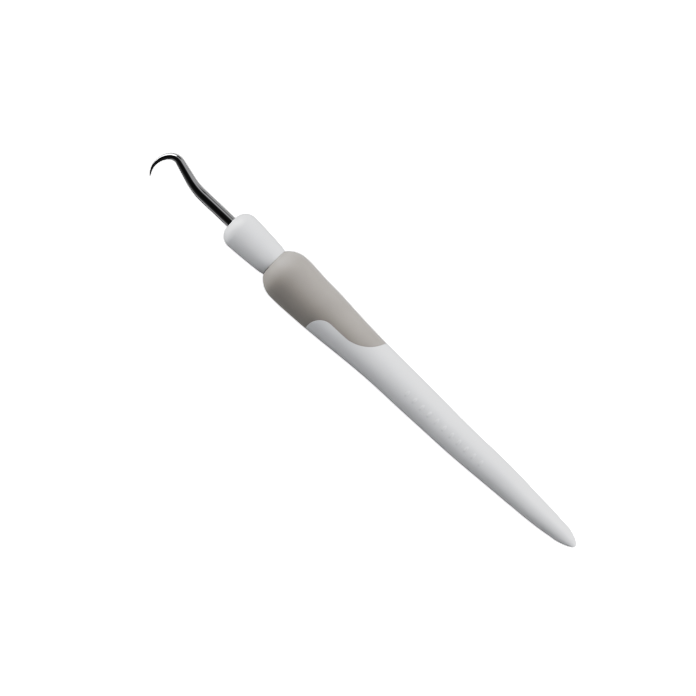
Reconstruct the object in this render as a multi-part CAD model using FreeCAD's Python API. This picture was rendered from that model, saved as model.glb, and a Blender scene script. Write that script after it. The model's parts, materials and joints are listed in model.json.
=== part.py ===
"""Hand scaler: a pointed steel hook bonded into a moulded handle with a soft grip.

The pieces are designed in the tool's own frame, in millimetres:
  x  along the shank's axis: 0 at the collar's flat front face, positive towards the hook.
     "back" is the same distance counted the other way, so x = -back inside the handle.
  y  in the hook's plane, positive on the side that the point hooks towards.
  z  square to the hook's plane, in which the tool is symmetric apart from its raised pips.
The last step lays the finished tool on a table, the way that it rests by itself: on the
widest part of the grip and on the handle near the tail. The origin is then on the table,
under the middle of the tool's box, with +X towards the hook and +Z up.
"""

import FreeCAD
import Part
import math
import os

from FreeCAD import Vector

# ---- driving dimensions, in millimetres and degrees ----

# Hook: one steel rod, bent and ground to a point.
SHANK_R = 1.75
STRAIGHT_OUT = 11.4       # straight rod in front of the collar, up to the first bend
FIRST_BEND_R = 21.0
FIRST_BEND_DEG = 16.5     # away from the side that the point hooks towards
RISE = 5.8                # straight run between the two bends
CREST_R = 3.4             # tight bend over the hook's crest
CREST_DEG = 62.0
CLAW_R = 5.9              # wider bend from the crest down to the point
CLAW_DEG = 83.5
CREST_ROD_R = 1.3         # rod where the crest bend starts
POINT_R = 0.19            # the point's blunt tip
TAPER_POWER = 0.95        # under 1, so the claw stays full until near its point
HOOK_SECTIONS = 40

# Tang: the hidden end of the same rod.
TANG_BACK = 37.0
TANG_CHAMFER = 0.4
TANG_GROOVES = (12.0, 17.0, 22.0)
TANG_GROOVE_WIDTH = 1.2
TANG_GROOVE_R = 1.45
TANG_FLATS = (27.0, 34.0)
TANG_FLAT_HALF = 1.35     # half the thickness left between the two flats

# Collar: the front piece, round about the shank's axis.
BORE_R = 1.9
MOUTH_CHAMFER = 0.25
COLLAR_R = 5.7
CORNER_R = 3.9            # large round corner behind the small flat face
CORNER_BACK = 3.75
FLANK = (8.4, 5.47)       # (back, radius) of a point half way along the slightly crowned flank
FLANK_END = (14.2, 5.02)
WAIST_BEND = (15.75, 4.82)
WAIST_BACK = 16.75        # joint between the collar and the grip
WAIST_R = 4.58
SPIGOT_R = 2.8            # tail of the collar, inside the handle's socket
SPIGOT_BACK = 38.0
SPIGOT_CHAMFER = 0.5
KEY_WIDTH = 1.6           # rib that keys the spigot in its socket
KEY_HEIGHT = 0.6

# Bond: the film of cured adhesive round the tang.
BOND_START = 0.6

# Handle outline: (back, half width in y, y of the centre).
DEPTH_RATIO = 0.97        # half depth in z over half width in y
SHOULDER_R = 7.5          # round front shoulder of the grip, seen from the side
SHOULDER_DEG = 54.0
SHOULDER_STEPS = 5
CREST_HALF = 7.72         # half width where the shoulder ends
CREST_CENTRE = 0.25
OUTLINE = (
    (29.0, 7.53, 0.42),
    (37.0, 7.15, 0.44),
    (45.0, 6.55, 0.45),
    (53.0, 6.00, 0.38),
    (61.0, 5.65, 0.34),
    (71.0, 5.48, 0.40),
    (81.0, 5.22, 0.46),
    (91.0, 4.96, 0.51),
    (101.0, 4.69, 0.25),
    (110.0, 4.32, 0.08),
    (118.0, 3.83, 0.08),
    (125.0, 3.35, -0.06),
    (129.0, 2.94, -0.20),
)
TAIL_END = 136.3          # back of the tail's round end
TAIL_BLUNTNESS = 1.45     # half width squared over the distance left: the end is a paraboloid
TAIL_STEPS = (4.5, 3.1, 1.6, 0.6, 0.15, 0.02)
TAIL_CENTRE = -0.30

# Neck: the handle's core inside the soft grip, as (back, half width, y of the centre).
NECK = ((WAIST_BACK, 4.0, 0.1), (22.0, 5.0, 0.25), (37.0, 4.7, 0.46), (49.0, 4.2, 0.44), (62.0, 3.6, 0.38))
LOCK_GROOVES = (21.0, 27.0, 33.0)
LOCK_GROOVE_WIDTH = 1.6
LOCK_GROOVE_DEPTH = 0.6

# Core hole: the tapered hollow behind the spigot, which keeps the moulding's walls even.
CORE_FRONT_R = 2.4
CORE_REAR_R = 1.7
CORE_BACK = 110.0

# Parting line between the soft grip and the handle, as seen square to the hook's plane.
GRIP_SHORT_BACK = 36.3    # end of the grip on the hooked side
PARTING_Y = 1.7           # the middle run of the line, along the handle
SHORT_ARC_R = 5.0
LONG_ARC_BACK = 46.1
LONG_ARC_R = 10.8

# Raised pips: a plain row of low ovals on the upper side of the handle.
PIP_COUNT = 11
PIP_FIRST_BACK = 70.5
PIP_PITCH = 2.9
PIP_Y = 1.1
PIP_LENGTH = 2.5          # across the handle
PIP_WIDTH = 1.1
PIP_HEIGHT = 0.16

REACH = 20.0              # longer than any half section, for cutting blocks
X_AXIS = Vector(1, 0, 0)
Y_AXIS = Vector(0, 1, 0)
Z_AXIS = Vector(0, 0, 1)


def rod(radius, back_from, back_to):
    """A cylinder about the shank's axis, between two distances behind the collar's face."""
    return Part.makeCylinder(radius, back_to - back_from, Vector(-back_to, 0, 0), X_AXIS)


def turned(outline):
    """A solid turned about the shank's axis. Each step is 2 points for a line or 3 for an arc."""
    edges = []
    for step in outline:
        points = [Vector(-back, radius, 0) for back, radius in step]
        edges.append(Part.Arc(*points).toShape() if len(points) == 3 else Part.makeLine(*points))
    return Part.Face(Part.Wire(edges)).revolve(Vector(0, 0, 0), X_AXIS, 360)


def oval(back, half_width, centre, half_depth):
    """An elliptical wire square to the x axis."""
    middle = Vector(-back, centre, 0)
    ellipse = Part.Ellipse(middle + Y_AXIS * half_width, middle + Z_AXIS * half_depth, middle)
    return Part.Wire([ellipse.toShape()])


def lofted(stations):
    """A smooth solid through ovals given as (back, half width, y of the centre, half depth)."""
    return Part.makeLoft([oval(*station) for station in stations], True, False)


# ---- hook ----
def hook_stretches():
    """The rod's centreline past the straight shank, as (length, turn in radians)."""
    return (
        (FIRST_BEND_R * math.radians(FIRST_BEND_DEG), -math.radians(FIRST_BEND_DEG)),
        (RISE, 0.0),
        (CREST_R * math.radians(CREST_DEG), math.radians(CREST_DEG)),
        (CLAW_R * math.radians(CLAW_DEG), math.radians(CLAW_DEG)),
    )


def point_on_hook(distance):
    """Position and heading at a distance along the centreline from the first bend's start."""
    x, y, heading = STRAIGHT_OUT, 0.0, 0.0
    for length, turn in hook_stretches():
        run = min(max(distance, 0.0), length)
        half_turn = turn * run / length / 2
        chord = run if turn == 0 else 2 * length / turn * math.sin(half_turn)
        x += chord * math.cos(heading + half_turn)
        y += chord * math.sin(heading + half_turn)
        heading += 2 * half_turn
        distance -= length
    return Vector(x, y, 0), heading


def hook_radius(distance):
    """The ground taper: gentle up to the crest, then quicker down to the point."""
    lengths = [length for length, turn in hook_stretches()]
    to_crest = sum(lengths[:2])
    if distance <= to_crest:
        return SHANK_R + (CREST_ROD_R - SHANK_R) * distance / to_crest
    left = (sum(lengths) - distance) / sum(lengths[2:])
    return POINT_R + (CREST_ROD_R - POINT_R) * max(left, 0.0) ** TAPER_POWER


def make_claw():
    """The bent, tapered part of the rod, as one smooth solid through round sections."""
    whole = sum(length for length, turn in hook_stretches())
    sections = []
    for i in range(HOOK_SECTIONS + 1):
        distance = whole * i / HOOK_SECTIONS
        centre, heading = point_on_hook(distance)
        circle = Part.Circle(centre, Vector(math.cos(heading), math.sin(heading), 0), hook_radius(distance))
        circle.XAxis = Z_AXIS
        sections.append(Part.Wire([circle.toShape()]))
    return Part.makeLoft(sections, True, False)


def make_hook():
    """One steel rod: the tang with its grooves and flats, the straight shank, the bends, the point."""
    shank = rod(SHANK_R, -STRAIGHT_OUT, TANG_BACK)
    inner_end = min(shank.Edges, key=lambda edge: edge.BoundBox.XMax)
    shank = shank.makeChamfer(TANG_CHAMFER, [inner_end])
    for back in TANG_GROOVES:
        ends = (back - TANG_GROOVE_WIDTH / 2, back + TANG_GROOVE_WIDTH / 2)
        shank = shank.cut(rod(REACH, *ends).cut(rod(TANG_GROOVE_R, *ends)))
    block = Part.makeBox(TANG_FLATS[1] - TANG_FLATS[0], 2 * REACH, REACH)
    for low_side in (TANG_FLAT_HALF, -TANG_FLAT_HALF - REACH):
        shank = shank.cut(block.translated(Vector(-TANG_FLATS[1], -REACH, low_side)))
    return shank.fuse(make_claw()).removeSplitter()


# ---- collar and bond ----
def make_collar():
    """The round front piece, with a bore for the tang and a keyed spigot for the handle's socket."""
    drop = COLLAR_R - CORNER_R
    face = (0.0, drop + math.sqrt(CORNER_R ** 2 - CORNER_BACK ** 2))
    lean = math.asin(CORNER_BACK / CORNER_R) / 2
    corner_middle = (CORNER_BACK - CORNER_R * math.sin(lean), drop + CORNER_R * math.cos(lean))
    corner_top = (CORNER_BACK, COLLAR_R)
    waist = (WAIST_BACK, WAIST_R)
    spigot_root = (WAIST_BACK, SPIGOT_R)
    spigot_edge = (SPIGOT_BACK - SPIGOT_CHAMFER, SPIGOT_R)
    spigot_end = (SPIGOT_BACK, SPIGOT_R - SPIGOT_CHAMFER)
    bore_end = (SPIGOT_BACK, BORE_R)
    bore_mouth = (MOUTH_CHAMFER, BORE_R)
    mouth = (0.0, BORE_R + MOUTH_CHAMFER)
    body = turned((
        (mouth, face),
        (face, corner_middle, corner_top),
        (corner_top, FLANK, FLANK_END),
        (FLANK_END, WAIST_BEND, waist),
        (waist, spigot_root),
        (spigot_root, spigot_edge),
        (spigot_edge, spigot_end),
        (spigot_end, bore_end),
        (bore_end, bore_mouth),
        (bore_mouth, mouth),
    ))
    key_length = spigot_edge[0] - WAIST_BACK
    key = Part.makeBox(key_length, SPIGOT_R + KEY_HEIGHT, KEY_WIDTH)
    key.translate(Vector(-spigot_edge[0], 0, -KEY_WIDTH / 2))
    hollow = rod((BORE_R + SPIGOT_R) / 2, WAIST_BACK, SPIGOT_BACK)
    return body.fuse(key.cut(hollow)).removeSplitter()


def make_bond(hook):
    """The adhesive fills the bore round the tang, its grooves and its flats."""
    return rod(BORE_R, BOND_START, SPIGOT_BACK).cut(hook)


# ---- handle and grip ----
def handle_stations():
    """The whole handle's outside, from the waist to the tail, as stations for a loft."""
    stations = []
    start = math.radians(SHOULDER_DEG)
    for i in range(SHOULDER_STEPS + 1):
        slope = start * (1 - i / SHOULDER_STEPS)
        back = WAIST_BACK + SHOULDER_R * (math.sin(start) - math.sin(slope))
        share = (math.cos(slope) - math.cos(start)) / (1 - math.cos(start))
        half_width = WAIST_R + (CREST_HALF - WAIST_R) * share
        half_depth = WAIST_R + (CREST_HALF * DEPTH_RATIO - WAIST_R) * share
        stations.append((back, half_width, CREST_CENTRE * share, half_depth))
    stations += [(back, half, centre, half * DEPTH_RATIO) for back, half, centre in OUTLINE]
    for left in TAIL_STEPS:
        half = math.sqrt(TAIL_BLUNTNESS * left)
        stations.append((TAIL_END - left, half, TAIL_CENTRE, half * DEPTH_RATIO))
    return stations


def handle_outside(extra=0.0):
    """The whole handle's outside as one solid, larger all round by extra."""
    return lofted([(back, half + extra, centre, depth + extra)
                   for back, half, centre, depth in handle_stations()])


def make_neck():
    """The core inside the grip, with grooves round it that the grip's material locks into."""
    neck = lofted([(back, half, centre, half * DEPTH_RATIO) for back, half, centre in NECK])
    groove_floor = lofted([(back, half - LOCK_GROOVE_DEPTH, centre, half * DEPTH_RATIO - LOCK_GROOVE_DEPTH)
                           for back, half, centre in NECK])
    for back in LOCK_GROOVES:
        ring = rod(REACH, back - LOCK_GROOVE_WIDTH / 2, back + LOCK_GROOVE_WIDTH / 2)
        neck = neck.cut(ring.cut(groove_floor))
    return neck


def make_grip_zone():
    """A block that holds everything in front of the parting line, which is drawn in the hook's plane."""
    def at(back, y):
        return Vector(-back, y, -REACH)

    diagonal = math.sqrt(0.5)
    short_centre = (GRIP_SHORT_BACK + SHORT_ARC_R, PARTING_Y + SHORT_ARC_R)
    short_middle = at(short_centre[0] - SHORT_ARC_R * diagonal, short_centre[1] - SHORT_ARC_R * diagonal)
    short_start = at(GRIP_SHORT_BACK, short_centre[1])
    short_end = at(short_centre[0], PARTING_Y)
    long_centre = (LONG_ARC_BACK, PARTING_Y - LONG_ARC_R)
    long_middle = at(long_centre[0] + LONG_ARC_R * diagonal, long_centre[1] + LONG_ARC_R * diagonal)
    long_start = at(LONG_ARC_BACK, PARTING_Y)
    long_end = at(LONG_ARC_BACK + LONG_ARC_R, long_centre[1])
    corners = (long_end, at(long_centre[0] + LONG_ARC_R, -REACH), at(0, -REACH), at(0, REACH),
               at(GRIP_SHORT_BACK, REACH), short_start)
    edges = [Part.makeLine(a, b) for a, b in zip(corners, corners[1:])]
    edges.append(Part.Arc(short_start, short_middle, short_end).toShape())
    edges.append(Part.makeLine(short_end, long_start))
    edges.append(Part.Arc(long_start, long_middle, long_end).toShape())
    return Part.Face(Part.Wire(edges)).extrude(Z_AXIS * 2 * REACH)


def make_pips():
    """The row of low raised ovals, as posts that reach down into the handle."""
    raised = handle_outside(PIP_HEIGHT)
    row = []
    for i in range(PIP_COUNT):
        middle = Vector(-PIP_FIRST_BACK - i * PIP_PITCH, PIP_Y, 0)
        outline = Part.Ellipse(middle + Y_AXIS * PIP_LENGTH / 2, middle + X_AXIS * PIP_WIDTH / 2, middle)
        post = Part.Face(Part.Wire([outline.toShape()])).extrude(Z_AXIS * REACH)
        row.append(post.common(raised))
    return row


def make_core_hole():
    """The tapered hollow behind the spigot, with a ball end."""
    length = CORE_BACK - CORE_REAR_R - SPIGOT_BACK
    start = Vector(-SPIGOT_BACK, 0, 0)
    taper = Part.makeCone(CORE_FRONT_R, CORE_REAR_R, length, start, -X_AXIS)
    return taper.fuse(Part.makeSphere(CORE_REAR_R, start - X_AXIS * length))


def make_handle_and_grip(collar):
    """The rigid handle with its neck, and the soft grip moulded round the neck."""
    outside = handle_outside()
    neck = make_neck()
    zone = make_grip_zone()
    grip = outside.common(zone).cut(neck)
    handle = outside.cut(zone).fuse(neck).fuse(make_pips())
    handle = handle.cut(rod(BORE_R, 0, SPIGOT_BACK)).cut(collar).cut(make_core_hole())
    return handle.removeSplitter(), grip


# ---- rest on the table ----
def lay_on_table(pieces):
    """Tips the tool about y until its grip and its tail end both touch the table, then centres it."""
    sections = handle_stations()
    crest = max(sections, key=lambda station: station[3])
    fall = min((crest[3] - station[3]) / (station[0] - crest[0])
               for station in sections if station[0] > crest[0] + REACH)
    laid = {name: shape.copy() for name, shape in pieces.items()}
    for shape in laid.values():
        shape.rotate(Vector(0, 0, 0), Y_AXIS, -math.degrees(math.atan(fall)))
    box = Part.makeCompound(list(laid.values())).optimalBoundingBox(False, False)
    move = Vector(-(box.XMin + box.XMax) / 2, -(box.YMin + box.YMax) / 2, -box.ZMin)
    for shape in laid.values():
        shape.translate(move)
    print(f"tilt {math.degrees(math.atan(fall)):.4f} deg, move {move.x:.4f} {move.y:.4f} {move.z:.4f}")
    print(f"size {box.XLength:.2f} x {box.YLength:.2f} x {box.ZLength:.2f} mm")
    return laid


def main():
    hook = make_hook()
    collar = make_collar()
    handle, grip = make_handle_and_grip(collar)
    pieces = {
        "steel_hook": hook,
        "nose_collar": collar,
        "tang_bond": make_bond(hook),
        "handle_body": handle,
        "soft_grip": grip,
    }
    os.makedirs("parts", exist_ok=True)
    for name, shape in lay_on_table(pieces).items():
        print(f"{name}: valid {shape.isValid()}, {len(shape.Solids)} solid, {shape.Volume:.1f} mm3")
        shape.exportStep(f"parts/{name}.step")


main()
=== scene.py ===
"""Looks of the hand scaler: a polished steel hook, a white moulded handle and a grey soft grip.

Shapes are made in millimetres in the tool's own frame: x runs along the shank towards the hook,
with 0 at the collar's front face, y points to the side that the hook's point curls to, and z is
square to the plane that the hook bends in. "back" is the distance behind the collar's face, -x.
"""
import bmesh
import bpy
import json
import math
import numpy as np
from mathutils import Matrix, Vector
from mathutils.bvhtree import BVHTree


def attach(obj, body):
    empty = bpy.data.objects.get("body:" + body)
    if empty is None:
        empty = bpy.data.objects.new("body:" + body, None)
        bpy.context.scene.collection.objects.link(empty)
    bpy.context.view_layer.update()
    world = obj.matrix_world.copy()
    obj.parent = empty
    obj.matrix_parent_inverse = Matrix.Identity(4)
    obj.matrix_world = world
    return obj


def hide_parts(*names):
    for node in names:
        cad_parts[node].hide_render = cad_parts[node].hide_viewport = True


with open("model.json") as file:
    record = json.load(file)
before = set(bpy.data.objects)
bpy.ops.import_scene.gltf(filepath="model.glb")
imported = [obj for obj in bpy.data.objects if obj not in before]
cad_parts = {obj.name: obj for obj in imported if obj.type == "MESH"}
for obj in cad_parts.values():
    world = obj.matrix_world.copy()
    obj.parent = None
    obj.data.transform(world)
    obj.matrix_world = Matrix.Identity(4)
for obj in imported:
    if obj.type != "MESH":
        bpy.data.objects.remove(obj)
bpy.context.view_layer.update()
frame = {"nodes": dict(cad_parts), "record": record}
cad = frame["nodes"]
scene = bpy.context.scene
MM = 0.001

# ---- the tool's frame, from the mount on the grip ----
GRIP_MOUNT_BACK = 30.0
GRIP_MOUNT_Y = 0.4
grip_mount = next(mount for mount in frame["record"]["mounts"] if mount["name"] == "hand_grip")
ALONG = Vector(grip_mount["axis"]).normalized()
SIDE = Vector((0, 1, 0))
FACING = ALONG.cross(SIDE)
TURN = Matrix((ALONG, SIDE, FACING)).transposed().to_4x4()
ORIGIN = Vector(grip_mount["pos_m"]) + (ALONG * GRIP_MOUNT_BACK - SIDE * GRIP_MOUNT_Y) * MM
TOOL = Matrix.Translation(ORIGIN) @ TURN @ Matrix.Scale(MM, 4)

# ---- dimensions in millimetres, the same as the CAD model's ----
WAIST_BACK = 16.75        # joint between the collar and the grip
TAIL_END = 136.28
BORE_R = 1.9
MOUTH_CHAMFER = 0.25
COLLAR_R = 5.7
CORNER_R = 3.9            # large round corner behind the collar's small flat face
CORNER_BACK = 3.75
FLANK = (8.4, 5.47)       # (back, radius) of a point half way along the crowned flank
FLANK_END = (14.2, 5.02)
WAIST_BEND = (15.75, 4.82)
WAIST_R = 4.58
SPIGOT_CHAMFER = 0.5
SHANK_R = 1.75
STRAIGHT_OUT = 11.4       # straight rod in front of the collar
BENDS = ((21.0, -16.5), (3.4, 62.0), (5.9, 83.5))   # radius, degrees towards the point's side
RISE = 5.8                # straight rod between the first two bends
CREST_ROD_R = 1.3
POINT_R = 0.19
TAPER_POWER = 0.95
TANG_BACK = 37.0
TANG_CHAMFER = 0.4
TANG_GROOVES = (12.0, 17.0, 22.0)
TANG_GROOVE_HALF = 0.6
TANG_GROOVE_R = 1.45
TANG_FLATS = (27.0, 34.0)
TANG_FLAT_HALF = 1.35
NECK = ((WAIST_BACK, 4.0, 0.1), (22.0, 5.0, 0.25), (37.0, 4.7, 0.46), (49.0, 4.2, 0.44), (62.0, 3.6, 0.38))
DEPTH_RATIO = 0.97
SPIGOT_R = 2.8
SPIGOT_BACK = 38.0
KEY_HALF_WIDTH = 0.8
KEY_HEIGHT = 0.6
CORE_FRONT_R = 2.4
CORE_REAR_R = 1.7
CORE_BACK = 110.0
GRIP_SHORT_BACK = 36.3    # the parting line between the grip and the handle
PARTING_Y = 1.7
SHORT_ARC_R = 5.0
LONG_ARC_BACK = 46.1
LONG_ARC_R = 10.8
PIP_BACKS = [70.5 + 2.9 * i for i in range(11)]
PIP_Y = 1.1
PIP_HALF = (0.55, 1.25)   # along and across the handle
PIP_HEIGHT = 0.14
PIP_PLATEAU = 0.3         # share of the pip that is flat, the rest is its soft edge
COLLAR_EDGE = 0.05        # bevel of the collar's edge at the waist
EDGE_R = 0.1              # rounding of the two edges that meet at the parting line
SLIVER = 0.02             # gap between hidden faces that touch in the CAD model
REACH = 20.0

# ---- how finely the outline is read from the CAD model, in millimetres ----
SAMPLE_STEP = 0.1
FRONT_CLEAR = 0.05        # from the waist to the first sample
TAIL_CLEAR = 0.03         # from the last sample to the tail's end
SMOOTH_SPREAD = 0.9       # reach of the smoothing of the widths
CENTRE_SPREAD = 2.0       # and of the centre line
SMOOTH_WINDOW = 3.5       # samples more spreads away than this don't count
SMOOTH_FALL = 0.25
LEAST_SQUARE = 1e-4       # the smallest squared width, so that the tail's end has a root
GRID_STEP = 0.25
TAIL_GRID = 4             # the last stretch of the tail has a finer grid
TAIL_GRID_STEP = 0.05

# ---- how finely the pieces are made ----
COLUMNS = 180             # points round the handle
FINE_ANGLES = 7200        # steps from which the columns' angles are chosen
PIP_SIDE_DEG = 80         # angle round the handle where the columns are closest together
PIP_SIDE_HALF = 0.36      # how far to each side they are, in radians
PIP_SIDE_FADE = 22        # how sharply that ends
PIP_SIDE_EXTRA = 2.6      # how much denser they are
ROD_COLUMNS = 56
WALL_POINTS = 200         # along the parting line's straight end, its arcs and its middle run
ARC_POINTS = 60
RUN_POINTS = 30
END_SEARCH = 2            # the parting line ends at most this far behind its last arc point
END_POINTS = 80
EDGE_RINGS = 5            # over a rounded edge
NEAR_SHARE = 0.04         # a ring this near shows which way the surface runs from the parting line
GRIP_FULL_BACK = 27.0     # rings are straight in front of this, and then turn to the parting line
HANDLE_FULL_BACK = 67.0   # and they are straight again behind this
GRIP_TURN_RINGS = 44
HANDLE_TURN_RINGS = 52
NECK_TURN_RINGS = 6
NECK_BACKS = (17.5, 19, 22, 24)
GRIP_FRONT_END = 19.5     # the grip's round front has closer rings
GRIP_FRONT_STEP = 0.16
GRIP_STEP = 0.3
GRIP_FRONT_SINK = 0.06    # of the grip's front edge
CORE_STEP = 8             # between rings in the core hole
SPIGOT_STEP = 5
PIP_STRETCH = (69.5, 100.5)
PIP_STEP = 0.115
PLAIN_STEPS = (0.4, 0.55)  # in front of the pips and behind them
TAIL_START = 126.5        # from here the rings draw together towards the tail's end
TAIL_RINGS = 44
ROD_STEP = 0.09           # between rings along the hook's bends
SHANK_STEP = 0.8
POINT_TURNS = (0.5, 1.0)  # of the rings on the hook's round point, in radians
SAME_POINT = 0.0001 * MM  # closer points are merged
SHARP_DEG = 38            # edges that turn by more stay sharp in the shading


# ---- reading the handle's outline from the CAD model ----
def tool_tree(*names):
    """A ray-casting tree of CAD nodes, in the tool's frame and in millimetres."""
    to_tool = TOOL.inverted()
    points, faces = [], []
    for name in names:
        start = len(points)
        points += [to_tool @ vertex.co for vertex in cad[name].data.vertices]
        faces += [[start + i for i in polygon.vertices] for polygon in cad[name].data.polygons]
    return BVHTree.FromPolygons(points, faces)


def read_outline():
    """Samples along the handle: back, y centre, half width squared and half depth squared."""
    tree = tool_tree("soft_grip", "handle_body")
    backs = np.arange(WAIST_BACK + FRONT_CLEAR, TAIL_END - TAIL_CLEAR, SAMPLE_STEP)

    def reach(back, direction):
        start = Vector((-back, 0, 0)) + direction * REACH
        return REACH - tree.ray_cast(start, -direction)[3]

    plus = np.array([reach(back, Vector((0, 1, 0))) for back in backs])
    minus = np.array([reach(back, Vector((0, -1, 0))) for back in backs])
    under = np.array([reach(back, Vector((0, 0, -1))) for back in backs])
    return backs, (plus - minus) / 2, ((plus + minus) / 2) ** 2, under ** 2


def smoothed(backs, values, spread=SMOOTH_SPREAD):
    """A function of back without the CAD mesh's facets: a parabola fitted to the samples near each place."""
    def value_at(back):
        near = np.abs(backs - back) < SMOOTH_WINDOW * spread
        offsets = backs[near] - back
        weights = np.exp(-SMOOTH_FALL * (offsets / spread) ** 2)
        return np.polyfit(offsets, values[near], 2, w=weights)[2]

    tail = TAIL_END - TAIL_GRID
    past_end = TAIL_END + TAIL_GRID_STEP / 5
    grid = np.concatenate([np.arange(WAIST_BACK, tail, GRID_STEP), np.arange(tail, past_end, TAIL_GRID_STEP)])
    found = np.array([value_at(back) for back in grid])
    return lambda back: np.interp(back, grid, found)


backs, centres, widths, depths = read_outline()
centre_of = smoothed(backs, centres, CENTRE_SPREAD)
width_squared = smoothed(backs, widths)
depth_squared = smoothed(backs, depths)


def outside(back, angle, sink=0.0):
    """A point on the handle's outside, or sunk below it. The angle is from +y round towards +z."""
    half = math.sqrt(max(float(width_squared(back)), LEAST_SQUARE)) - sink
    depth = math.sqrt(max(float(depth_squared(back)), LEAST_SQUARE)) - sink
    return Vector((-back, float(centre_of(back)) + half * math.cos(angle), depth * math.sin(angle)))


def neck(back, angle, sink=0.0):
    """A point on the core inside the grip."""
    stations = [station[0] for station in NECK]
    half = float(np.interp(back, stations, [station[1] for station in NECK])) - sink
    centre = float(np.interp(back, stations, [station[2] for station in NECK]))
    return Vector((-back, centre + half * math.cos(angle), half * DEPTH_RATIO * math.sin(angle)))


# ---- rings of points, and meshes made from them ----
def column_angles():
    """Angles round the handle, closer together under the pips."""
    fine = np.linspace(0, 2 * math.pi, FINE_ANGLES, endpoint=False)
    from_pips = np.abs(fine - math.radians(PIP_SIDE_DEG))
    density = 1 + PIP_SIDE_EXTRA / (1 + np.exp((from_pips - PIP_SIDE_HALF) * PIP_SIDE_FADE))
    total = np.concatenate([[0], np.cumsum(density)])
    places = np.linspace(0, total[-1], COLUMNS, endpoint=False)
    return list(np.interp(places, total, np.append(fine, 2 * math.pi)))


ANGLES = column_angles()


def mesh_from_rings(name, rings, looped=False):
    """A closed surface over rings of equal length, where a ring of one point is a pole.

    Looped joins the last ring to the first.
    """
    points, starts = [], []
    for ring in rings:
        starts.append(len(points))
        points += ring
    faces = []
    pairs = list(zip(range(len(rings)), range(1, len(rings))))
    if looped:
        pairs.append((len(rings) - 1, 0))
    for first, second in pairs:
        a, b = starts[first], starts[second]
        count = max(len(rings[first]), len(rings[second]))
        for i in range(count):
            j = (i + 1) % count
            if len(rings[first]) == 1:
                faces.append((a, b + i, b + j))
            elif len(rings[second]) == 1:
                faces.append((a + j, a + i, b))
            else:
                faces.append((a + j, a + i, b + i, b + j))
    mesh = bpy.data.meshes.new(name)
    mesh.from_pydata([TOOL @ point for point in points], [], faces)
    work = bmesh.new()
    work.from_mesh(mesh)
    bmesh.ops.remove_doubles(work, verts=work.verts, dist=SAME_POINT)
    bmesh.ops.recalc_face_normals(work, faces=work.faces)
    work.to_mesh(mesh)
    work.free()
    mesh.shade_smooth()
    mesh.set_sharp_from_angle(angle=math.radians(SHARP_DEG))
    made = bpy.data.objects.new(name, mesh)
    scene.collection.objects.link(made)
    return made


def steps(start, end, size):
    """Values from start to end in about equal steps, both ends included."""
    return list(np.linspace(start, end, max(2, int(round(abs(end - start) / size)) + 1)))


# ---- the parting line ----
def parting_outline():
    """The line in the hook's plane as (back, y), from the hooked side to the other side."""
    quarter = np.linspace(0, math.pi / 2, ARC_POINTS)
    line = [(GRIP_SHORT_BACK, y) for y in np.linspace(REACH, PARTING_Y + SHORT_ARC_R, WALL_POINTS)]
    line += [(GRIP_SHORT_BACK + SHORT_ARC_R * (1 - math.cos(a)), PARTING_Y + SHORT_ARC_R * (1 - math.sin(a)))
             for a in quarter]
    line += [(back, PARTING_Y)
             for back in np.linspace(GRIP_SHORT_BACK + SHORT_ARC_R, LONG_ARC_BACK, RUN_POINTS)]
    line += [(LONG_ARC_BACK + LONG_ARC_R * math.sin(a), PARTING_Y - LONG_ARC_R * (1 - math.cos(a)))
             for a in quarter]
    return line


def parting_columns():
    """For each column, the (back, angle) where it meets the parting line, evenly spaced along the line."""
    places = []
    for back, y in parting_outline():
        lean = (y - float(centre_of(back))) / math.sqrt(float(width_squared(back)))
        if abs(lean) < 1:
            places.append((back, math.acos(lean)))
    last_back = places[-1][0]
    for back in np.linspace(last_back, last_back + END_SEARCH, END_POINTS):
        y = PARTING_Y - LONG_ARC_R + math.sqrt(max(LONG_ARC_R ** 2 - (back - LONG_ARC_BACK) ** 2, 0))
        lean = (y - float(centre_of(back))) / math.sqrt(float(width_squared(back)))
        if lean > -1 and math.acos(lean) > places[-1][1]:
            places.append((back, math.acos(lean)))
    places = [(GRIP_SHORT_BACK, 0.0)] + places + [(places[-1][0], math.pi)]
    points = [outside(back, angle) for back, angle in places]
    lengths = np.cumsum([0] + [(b - a).length for a, b in zip(points, points[1:])])
    place_backs = [back for back, angle in places]
    place_angles = [angle for back, angle in places]
    columns = []
    for angle in ANGLES:
        share = angle / math.pi if angle <= math.pi else 2 - angle / math.pi
        along = share * lengths[-1]
        back = float(np.interp(along, lengths, place_backs))
        met = float(np.interp(along, lengths, place_angles))
        columns.append((back, met if angle <= math.pi else 2 * math.pi - met))
    return columns


PARTING = parting_columns()


def between(surface, full_back, share, sink=0.0):
    """A ring part of the way from the parting line, share 0, to the straight ring at full_back, share 1."""
    ring = []
    blend = share * share * (3 - 2 * share)
    for angle, (parting_back, parting_angle) in zip(ANGLES, PARTING):
        back = parting_back + (full_back - parting_back) * share
        ring.append(surface(back, parting_angle + (angle - parting_angle) * blend, sink))
    return ring


def rounded_edge(full_back):
    """Rings over the small rounding at the parting line, from the wall's top to the outside."""
    on_line = between(outside, full_back, 0)
    rings = []
    shift = 0.25 * SLIVER
    for turn in np.linspace(0, math.pi / 2, EDGE_RINGS):
        inward = EDGE_R * (1 - math.cos(turn)) + shift
        sink = EDGE_R * (1 - math.sin(turn))
        ring = []
        for point, target, (back, angle) in zip(on_line, between(outside, full_back, NEAR_SHARE), PARTING):
            below = outside(back, angle, 1.0)
            down = (below - point).normalized()
            away = (target - point)
            away = (away - down * away.dot(down)).normalized()
            ring.append(point + away * inward + down * sink)
        rings.append(ring)
    return rings


def straight_ring(surface, back, sink=0.0):
    return [surface(back, angle, sink) for angle in ANGLES]


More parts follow.
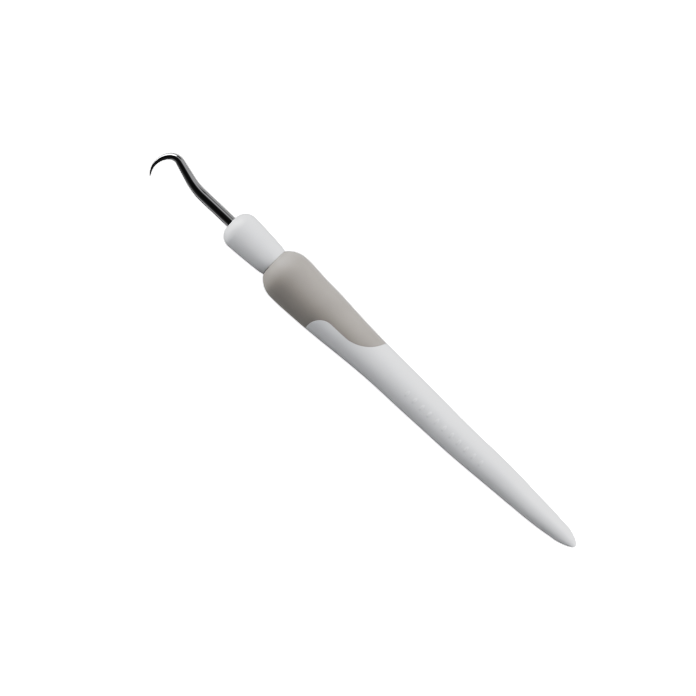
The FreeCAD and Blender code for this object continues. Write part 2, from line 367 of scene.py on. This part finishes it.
def pip_lift(point):
    """How far the row of pips lifts a point of the handle's upper side."""
    if point.z < 0:
        return 0.0
    nearest = min(PIP_BACKS, key=lambda back: abs(back + point.x))
    out = math.hypot((nearest + point.x) / PIP_HALF[0], (point.y - PIP_Y) / PIP_HALF[1])
    share = min(max((1 - out) / (1 - PIP_PLATEAU), 0), 1)
    return PIP_HEIGHT * share * share * (3 - 2 * share)


def pip_ring(back):
    ring = []
    for point in straight_ring(outside, back):
        normal = Vector((0, point.y - float(centre_of(back)), point.z)).normalized()
        ring.append(point + normal * pip_lift(point))
    return ring


def socket_ring(back, radius, keyed, key_half=KEY_HALF_WIDTH + 0.1):
    """A round ring about the shank's axis, with the collar's key or the slot for it."""
    ring = []
    for angle in ANGLES:
        here = radius
        if keyed and math.cos(angle) > 0 and abs(radius * math.sin(angle)) < key_half:
            here = radius + KEY_HEIGHT
        ring.append(Vector((-back, here * math.cos(angle), here * math.sin(angle))))
    return ring


# ---- pieces ----
def make_grip():
    """The soft grip: a sleeve with a rounded rear edge, made from its outside, its wall and its inside."""
    full = GRIP_FULL_BACK
    front = WAIST_BACK + SLIVER
    rings = [straight_ring(outside, back)
             for back in steps(front + GRIP_FRONT_SINK, GRIP_FRONT_END, GRIP_FRONT_STEP)]
    rings += [straight_ring(outside, back) for back in steps(GRIP_FRONT_END + 0.2, full, GRIP_STEP)]
    rings += [between(outside, full, 1 - i / GRIP_TURN_RINGS) for i in range(1, GRIP_TURN_RINGS)]
    rings += rounded_edge(full)[::-1]
    rings += [between(neck, full, i / NECK_TURN_RINGS) for i in range(NECK_TURN_RINGS + 1)]
    rings += [straight_ring(neck, back) for back in (*NECK_BACKS[::-1], front)]
    rings.append(straight_ring(outside, front, GRIP_FRONT_SINK))
    return mesh_from_rings("grip_skin", rings, looped=True)


def make_handle():
    """The handle: core hole, socket, neck, parting wall, outside with pips, and tail."""
    ball = CORE_BACK - CORE_REAR_R
    rings = [[Vector((-CORE_BACK, 0, 0))]]
    rings += [socket_ring(ball + CORE_REAR_R * math.cos(a), CORE_REAR_R * math.sin(a), False)
              for a in np.linspace(0.25, math.pi / 2, 6)]
    core_backs, core_radii = (SPIGOT_BACK, ball), (CORE_FRONT_R, CORE_REAR_R)
    rings += [socket_ring(back, float(np.interp(back, core_backs, core_radii)), False)
              for back in steps(ball - CORE_STEP, SPIGOT_BACK, CORE_STEP)]
    front = WAIST_BACK + SLIVER
    rings += [socket_ring(back, SPIGOT_R + SLIVER, True) for back in steps(SPIGOT_BACK, front, SPIGOT_STEP)]
    rings += [straight_ring(neck, back, SLIVER) for back in (front, *NECK_BACKS, GRIP_FULL_BACK)]
    rings += [between(neck, GRIP_FULL_BACK, 1 - i / NECK_TURN_RINGS, SLIVER)
              for i in range(1, NECK_TURN_RINGS + 1)]
    full = HANDLE_FULL_BACK
    rings += rounded_edge(full)
    rings += [between(outside, full, i / HANDLE_TURN_RINGS) for i in range(1, HANDLE_TURN_RINGS)]
    pips_start, pips_end = PIP_STRETCH
    rings += [straight_ring(outside, back) for back in steps(full, pips_start - 0.1, PLAIN_STEPS[0])]
    rings += [pip_ring(back) for back in steps(pips_start, pips_end, PIP_STEP)]
    rings += [straight_ring(outside, back)
              for back in steps(pips_end + 0.4, TAIL_START - 0.5, PLAIN_STEPS[1])]
    left = TAIL_END - TAIL_START
    rings += [straight_ring(outside, TAIL_END - left * (1 - i / TAIL_RINGS) ** 2) for i in range(TAIL_RINGS)]
    rings.append([Vector((-TAIL_END, float(centre_of(TAIL_END)), 0))])
    return mesh_from_rings("handle_skin", rings)


def arc_through(first, middle, last, count=14):
    """Points of the arc through three (back, radius) points."""
    (ax, ay), (bx, by), (cx, cy) = first, middle, last
    ab, bc = ax * ax + ay * ay - bx * bx - by * by, bx * bx + by * by - cx * cx - cy * cy
    scale = 2 * ((ax - bx) * (by - cy) - (bx - cx) * (ay - by))
    x = (ab * (by - cy) - bc * (ay - by)) / scale
    y = ((ax - bx) * bc - (bx - cx) * ab) / scale
    radius = math.hypot(ax - x, ay - y)
    start, end = math.atan2(ay - y, ax - x), math.atan2(cy - y, cx - x)
    turn = (end - start + math.pi) % (2 * math.pi) - math.pi
    angles = [start + turn * i / count for i in range(count + 1)]
    return [(x + radius * math.cos(angle), y + radius * math.sin(angle)) for angle in angles]


def make_collar():
    """The collar: round front, crowned flank, waist, keyed spigot and bore."""
    drop = COLLAR_R - CORNER_R
    face_r = drop + math.sqrt(CORNER_R ** 2 - CORNER_BACK ** 2)
    lean = math.asin(CORNER_BACK / CORNER_R) / 2
    corner_middle = (CORNER_BACK - CORNER_R * math.sin(lean), drop + CORNER_R * math.cos(lean))
    profile = [(0.0, BORE_R + MOUTH_CHAMFER), (0.0, (BORE_R + MOUTH_CHAMFER + face_r) / 2)]
    profile += arc_through((0.0, face_r), corner_middle, (CORNER_BACK, COLLAR_R), 20)
    profile += arc_through((CORNER_BACK, COLLAR_R), FLANK, FLANK_END, 16)[1:]
    profile += arc_through(FLANK_END, WAIST_BEND, (WAIST_BACK - COLLAR_EDGE, WAIST_R), 8)[1:]
    profile += [(WAIST_BACK, WAIST_R - COLLAR_EDGE)]
    rings = [socket_ring(back, radius, False) for back, radius in profile]
    rings += [socket_ring(back, SPIGOT_R, True, KEY_HALF_WIDTH)
              for back in steps(WAIST_BACK, SPIGOT_BACK - SPIGOT_CHAMFER, SPIGOT_STEP)]
    rings += [socket_ring(back, radius, False) for back, radius in
              ((SPIGOT_BACK, SPIGOT_R - SPIGOT_CHAMFER), (SPIGOT_BACK, BORE_R), (MOUTH_CHAMFER, BORE_R))]
    return mesh_from_rings("collar_shell", rings, looped=True)


def make_hook():
    """The steel rod from its point to the tang, with the tang's grooves and flats."""
    stretches = [(math.radians(abs(BENDS[0][1])) * BENDS[0][0], math.radians(BENDS[0][1])), (RISE, 0.0)]
    stretches += [(math.radians(degrees) * radius, math.radians(degrees)) for radius, degrees in BENDS[1:]]
    whole = sum(length for length, turn in stretches)
    to_crest = stretches[0][0] + stretches[1][0]

    def place(distance):
        x, y, heading = STRAIGHT_OUT, 0.0, 0.0
        for length, turn in stretches:
            run = min(max(distance, 0.0), length)
            half_turn = turn * run / length / 2
            chord = run if turn == 0 else 2 * length / turn * math.sin(half_turn)
            x += chord * math.cos(heading + half_turn)
            y += chord * math.sin(heading + half_turn)
            heading += 2 * half_turn
            distance -= length
        return Vector((x, y, 0)), heading

    def radius_at(distance):
        if distance <= to_crest:
            return SHANK_R + (CREST_ROD_R - SHANK_R) * distance / to_crest
        left = (whole - distance) / (whole - to_crest)
        return POINT_R + (CREST_ROD_R - POINT_R) * max(left, 0.0) ** TAPER_POWER

    def ring(middle, heading, radius, flat=REACH):
        across = Vector((-math.sin(heading), math.cos(heading), 0))
        made = []
        for i in range(ROD_COLUMNS):
            angle = 2 * math.pi * i / ROD_COLUMNS
            here = min(radius, flat / max(abs(math.sin(angle)), 1e-6))
            made.append(middle + across * (here * math.cos(angle)) + Vector((0, 0, here * math.sin(angle))))
        return made

    end, heading = place(whole)
    forward = Vector((math.cos(heading), math.sin(heading), 0))
    rings = [[end + forward * POINT_R]]
    rings += [ring(end + forward * (POINT_R * math.cos(turn)), heading, POINT_R * math.sin(turn))
              for turn in POINT_TURNS]
    for distance in steps(whole, 0, ROD_STEP):
        middle, heading = place(distance)
        rings.append(ring(middle, heading, radius_at(distance)))
    rings += [ring(Vector((x, 0, 0)), 0, SHANK_R) for x in steps(STRAIGHT_OUT, 0, SHANK_STEP)[1:]]
    for back in TANG_GROOVES:
        front, rear = back - TANG_GROOVE_HALF, back + TANG_GROOVE_HALF
        rings += [ring(Vector((-at, 0, 0)), 0, radius) for at, radius in
                  ((front, SHANK_R), (front, TANG_GROOVE_R), (rear, TANG_GROOVE_R), (rear, SHANK_R))]
    front, rear = TANG_FLATS
    rings += [ring(Vector((-at, 0, 0)), 0, SHANK_R, flat) for at, flat in
              ((front, REACH), (front, TANG_FLAT_HALF), (rear, TANG_FLAT_HALF), (rear, REACH))]
    rings += [ring(Vector((-at, 0, 0)), 0, radius) for at, radius in
              ((TANG_BACK - TANG_CHAMFER, SHANK_R), (TANG_BACK, SHANK_R - TANG_CHAMFER))]
    rings.append([Vector((-TANG_BACK, 0, 0))])
    return mesh_from_rings("hook_rod", rings)


# ---- materials ----
def new_material(name):
    made = bpy.data.materials.new(name)
    made.use_nodes = True
    return made, made.node_tree, made.node_tree.nodes["Principled BSDF"]


def noise(tree, scale, detail=2.0, stretch=None):
    """A noise value over the piece's own coordinates, in metres."""
    coordinates = tree.nodes.new("ShaderNodeTexCoord")
    mapping = tree.nodes.new("ShaderNodeMapping")
    tree.links.new(coordinates.outputs["Object"], mapping.inputs["Vector"])
    if stretch:
        mapping.inputs["Scale"].default_value = stretch
    texture = tree.nodes.new("ShaderNodeTexNoise")
    texture.inputs["Scale"].default_value = scale
    texture.inputs["Detail"].default_value = detail
    tree.links.new(mapping.outputs["Vector"], texture.inputs["Vector"])
    return texture.outputs["Fac"]


def spread(tree, value, low, high, source=(0.3, 0.7)):
    """The value's range turned into low to high."""
    ramp = tree.nodes.new("ShaderNodeMapRange")
    ramp.inputs["From Min"].default_value = source[0]
    ramp.inputs["From Max"].default_value = source[1]
    ramp.inputs["To Min"].default_value = low
    ramp.inputs["To Max"].default_value = high
    tree.links.new(value, ramp.inputs["Value"])
    return ramp.outputs["Result"]


def tinted(tree, value, dark, light):
    """A colour between dark and light by a value from 0 to 1."""
    mix = tree.nodes.new("ShaderNodeMix")
    mix.data_type = "RGBA"
    colours = [socket for socket in mix.inputs if socket.type == "RGBA"]
    colours[0].default_value = (*dark, 1)
    colours[1].default_value = (*light, 1)
    tree.links.new(value, mix.inputs["Factor"])
    return [socket for socket in mix.outputs if socket.type == "RGBA"][0]


def bump(tree, height, strength, distance):
    node = tree.nodes.new("ShaderNodeBump")
    node.inputs["Strength"].default_value = strength
    node.inputs["Distance"].default_value = distance
    tree.links.new(height, node.inputs["Height"])
    return node.outputs["Normal"]


def moulded(name, dark, light, rough, grain, depth, sheen=0.0, sheen_rough=0.5):
    """A moulded surface: faint cloudy tone, fine eroded grain from the mould, uneven gloss."""
    made, tree, shader = new_material(name)
    cloud = noise(tree, 90, 3)
    tree.links.new(tinted(tree, spread(tree, cloud, 0, 1), dark, light), shader.inputs["Base Color"])
    tree.links.new(spread(tree, noise(tree, 700, 4), rough[0], rough[1]), shader.inputs["Roughness"])
    tree.links.new(bump(tree, noise(tree, grain, 2), 0.5, depth), shader.inputs["Normal"])
    shader.inputs["Sheen Weight"].default_value = sheen
    shader.inputs["Sheen Roughness"].default_value = sheen_rough
    return made


def polished_steel():
    made, tree, shader = new_material("polished_steel")
    shader.inputs["Metallic"].default_value = 1.0
    drawn = noise(tree, 900, 3, (0.06, 1, 1))
    tree.links.new(tinted(tree, spread(tree, drawn, 0, 1), (0.56, 0.56, 0.57), (0.64, 0.64, 0.65)),
                   shader.inputs["Base Color"])
    tree.links.new(spread(tree, drawn, 0.04, 0.08), shader.inputs["Roughness"])
    return made


def epoxy():
    made, tree, shader = new_material("cured_adhesive")
    cloud = noise(tree, 1500, 2)
    tree.links.new(tinted(tree, spread(tree, cloud, 0, 1), (0.62, 0.55, 0.36), (0.74, 0.68, 0.5)),
                   shader.inputs["Base Color"])
    shader.inputs["Roughness"].default_value = 0.25
    return made


def dress(piece, made):
    piece.data.materials.clear()
    piece.data.materials.append(made)


white = moulded("white_plastic", (0.758, 0.77, 0.793), (0.788, 0.80, 0.823), (0.18, 0.27), 7000, 0.00002)
grey = moulded("grey_soft_grip", (0.344, 0.325, 0.307), (0.372, 0.351, 0.331), (0.50, 0.60), 5000, 0.00005,
               sheen=0.15, sheen_rough=0.5)
steel = polished_steel()

grip = make_grip()
handle = make_handle()
collar = make_collar()
hook = make_hook()
for piece, node, made, slot_name in ((grip, "soft_grip", grey, "grey_soft_grip"),
                                     (handle, "handle_body", white, "white_plastic"),
                                     (collar, "nose_collar", white, "white_plastic"),
                                     (hook, "steel_hook", steel, "polished_steel")):
    dress(piece, made)
    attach(piece, "root")
    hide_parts(node)
dress(cad["tang_bond"], epoxy())


# ---- camera: square to the hook's plane, from far away ----
VIEW_WIDTH = 201.2        # of the picture, at the tool
VIEW_BACK = 49.2          # the picture's middle in the tool's frame
VIEW_Y = 3.2
ROLL_DEG = 43.42
DISTANCE = 0.5
camera_data = bpy.data.cameras.new("camera")
camera_data.sensor_width = 36
camera_data.lens = camera_data.sensor_width * DISTANCE / (VIEW_WIDTH * MM)
camera_data.clip_end = 50
camera = bpy.data.objects.new("camera", camera_data)
scene.collection.objects.link(camera)
roll = math.radians(ROLL_DEG)
RIGHT = -ALONG * math.cos(roll) - SIDE * math.sin(roll)
UP = ALONG * math.sin(roll) - SIDE * math.cos(roll)
BACK = RIGHT.cross(UP)
LOOK_AT = TOOL @ Vector((-VIEW_BACK, VIEW_Y, 0))
camera_turn = Matrix((RIGHT, UP, BACK)).transposed().to_4x4()
camera.matrix_world = Matrix.Translation(LOOK_AT + BACK * DISTANCE) @ camera_turn
scene.camera = camera


# ---- floor: a pale glowing sheet that takes the tool's shadow, but doesn't light or mirror in the tool ----
FLOOR_SIZE = 12
FLOOR_GAP = 0.05 * MM     # below the tool, so that the two don't share a surface
bpy.ops.mesh.primitive_plane_add(size=FLOOR_SIZE, location=(0, 0, -FLOOR_GAP))
floor = bpy.context.object
floor.name = "floor"
floor_paint, _, floor_shader = new_material("floor")
floor_shader.inputs["Base Color"].default_value = (0.3, 0.3, 0.3, 1)
floor_shader.inputs["Roughness"].default_value = 0.9
floor_shader.inputs["Specular IOR Level"].default_value = 0
floor_shader.inputs["Emission Color"].default_value = (1, 1, 1, 1)
floor_shader.inputs["Emission Strength"].default_value = 1.5
floor.data.materials.append(floor_paint)
floor.visible_diffuse = False
floor.visible_glossy = False
floor.visible_shadow = False


# ---- light ----
def direction_to(azimuth_deg, elevation_deg):
    """A direction by its height above the picture and its azimuth, 0 at the right and 90 at the top."""
    azimuth, rise = math.radians(azimuth_deg), math.radians(elevation_deg)
    flat = RIGHT * math.cos(azimuth) + UP * math.sin(azimuth)
    return flat * math.cos(rise) + BACK * math.sin(rise)


def softbox(name, azimuth, elevation, half_wide, half_high, radiance, tilt=0, distance=0.8):
    """A rectangular area light that reaches half_wide and half_high from its middle, seen from the tool.

    All angles are in degrees. Tilt lifts the side that lies at the higher azimuths.
    """
    direction = direction_to(azimuth, elevation)
    data = bpy.data.lights.new(name, "AREA")
    data.shape = "RECTANGLE"
    data.size = 2 * distance * math.tan(math.radians(half_wide))
    data.size_y = 2 * distance * math.tan(math.radians(half_high))
    data.energy = radiance * math.pi * data.size * data.size_y
    light = bpy.data.objects.new(name, data)
    across = BACK.cross(direction).normalized()
    turn = Matrix((across, direction.cross(across), direction)).transposed().to_4x4()
    turn = turn @ Matrix.Rotation(math.radians(tilt), 4, "Z")
    light.matrix_world = Matrix.Translation(LOOK_AT + direction * distance) @ turn
    light.visible_camera = False
    scene.collection.objects.link(light)
    return light


# name, azimuth, elevation, half_wide, half_high, radiance
CARD = ("card_top_left", 115, 14, 33, 15, 4.0)
CARD_TILT = -38
FILLS = (("softbox_right", 12, 29, 13, 24, 8.1),
         ("fill_tail", 312, 5, 15, 25, 2.4),
         ("fill_front", 141, 9, 30, 17, 6.6),
         ("fill_overhead", 226, 80, 25, 25, 0.5))

card = softbox(*CARD, tilt=CARD_TILT)
card.visible_diffuse = False
for fill in FILLS:
    softbox(*fill).visible_glossy = False

# patches of the room: azimuth and elevation of the middle, and the angles from it where the patch
# starts to fade and where it ends
LIGHT_WALL = (46, 15, 45, 80)
LIGHT_TABLE = (46, -45, 35, 65)
UPPER_HALF = (0, 90, 85, 100)
BEHIND_TAIL = (322, 0, 42, 62)
LOW_WINDOW = (226, -25, 12, 38)
FLAG = (70, 20, 10, 22)
OWN_SHADOW = (226, -72, 25, 45)
CEILING = (226, 74, 40, 53)
CEILING_STRIP = (226, 83, 3, 8)

# brightness outside a patch and inside it
WALL_LIGHT = (0.05, 0.5)
TABLE_LIGHT = (0.1, 0.5)
CEILING_LIGHT = (0.008, 0.03)
# brightness of patches that lie over the walls and the table, from the lowest layer up
LAYERS = ((BEHIND_TAIL, 0.03), (LOW_WINDOW, 0.45), (FLAG, 0.02), (OWN_SHADOW, 0.02))


def studio_world():
    """The room: lighter towards the upper right of the picture, black overhead, and a white table below."""
    world = bpy.data.worlds.new("studio")
    world.use_nodes = True
    tree = world.node_tree
    background = tree.nodes["Background"]
    background.inputs["Color"].default_value = (1, 1, 1, 1)
    coordinates = tree.nodes.new("ShaderNodeTexCoord")

    def lobe(azimuth, elevation, full_deg, none_deg):
        """1 within full_deg of the direction, falling to 0 at none_deg."""
        direction = direction_to(azimuth, elevation)
        dot = tree.nodes.new("ShaderNodeVectorMath")
        dot.operation = "DOT_PRODUCT"
        tree.links.new(coordinates.outputs["Generated"], dot.inputs[0])
        dot.inputs[1].default_value = direction
        ramp = tree.nodes.new("ShaderNodeMapRange")
        ramp.interpolation_type = "SMOOTHSTEP"
        ramp.inputs["From Min"].default_value = math.cos(math.radians(none_deg))
        ramp.inputs["From Max"].default_value = math.cos(math.radians(full_deg))
        tree.links.new(dot.outputs["Value"], ramp.inputs["Value"])
        return ramp.outputs["Result"]

    def mixed(factor, low, high):
        """From low to high by the factor. Each is a number or a node's output."""
        node = tree.nodes.new("ShaderNodeMix")
        tree.links.new(factor, node.inputs[0])
        for socket, value in ((node.inputs[2], low), (node.inputs[3], high)):
            if isinstance(value, float):
                socket.default_value = value
            else:
                tree.links.new(value, socket)
        return node.outputs[0]

    walls = mixed(lobe(*LIGHT_WALL), *WALL_LIGHT)
    table = mixed(lobe(*LIGHT_TABLE), *TABLE_LIGHT)
    room = mixed(lobe(*UPPER_HALF), table, walls)
    for patch, brightness in LAYERS:
        room = mixed(lobe(*patch), room, brightness)
    room = mixed(lobe(*CEILING), room, mixed(lobe(*CEILING_STRIP), *CEILING_LIGHT))
    tree.links.new(room, background.inputs["Strength"])
    return world


scene.world = studio_world()


# ---- the picture's tone: shadows slightly deeper, then a soft shoulder up to paper white ----
TONE = ((0.0, 0.0), (0.09, 0.065), (0.18, 0.145), (0.35, 0.35), (0.5, 0.495), (0.7, 0.615), (0.9, 0.708),
        (1.1, 0.757), (1.25, 0.805), (1.5, 1.0))


def set_tone():
    scene.view_settings.view_transform = "Standard"
    scene.view_settings.use_curve_mapping = True
    mapping = scene.view_settings.curve_mapping
    mapping.clip_max_x = TONE[-1][0]
    mapping.use_clip = True
    curve = mapping.curves[3]
    curve.points[0].location = TONE[0]
    curve.points[-1].location = TONE[-1]
    for place in TONE[1:-1]:
        curve.points.new(*place)
    mapping.update()


set_tone()
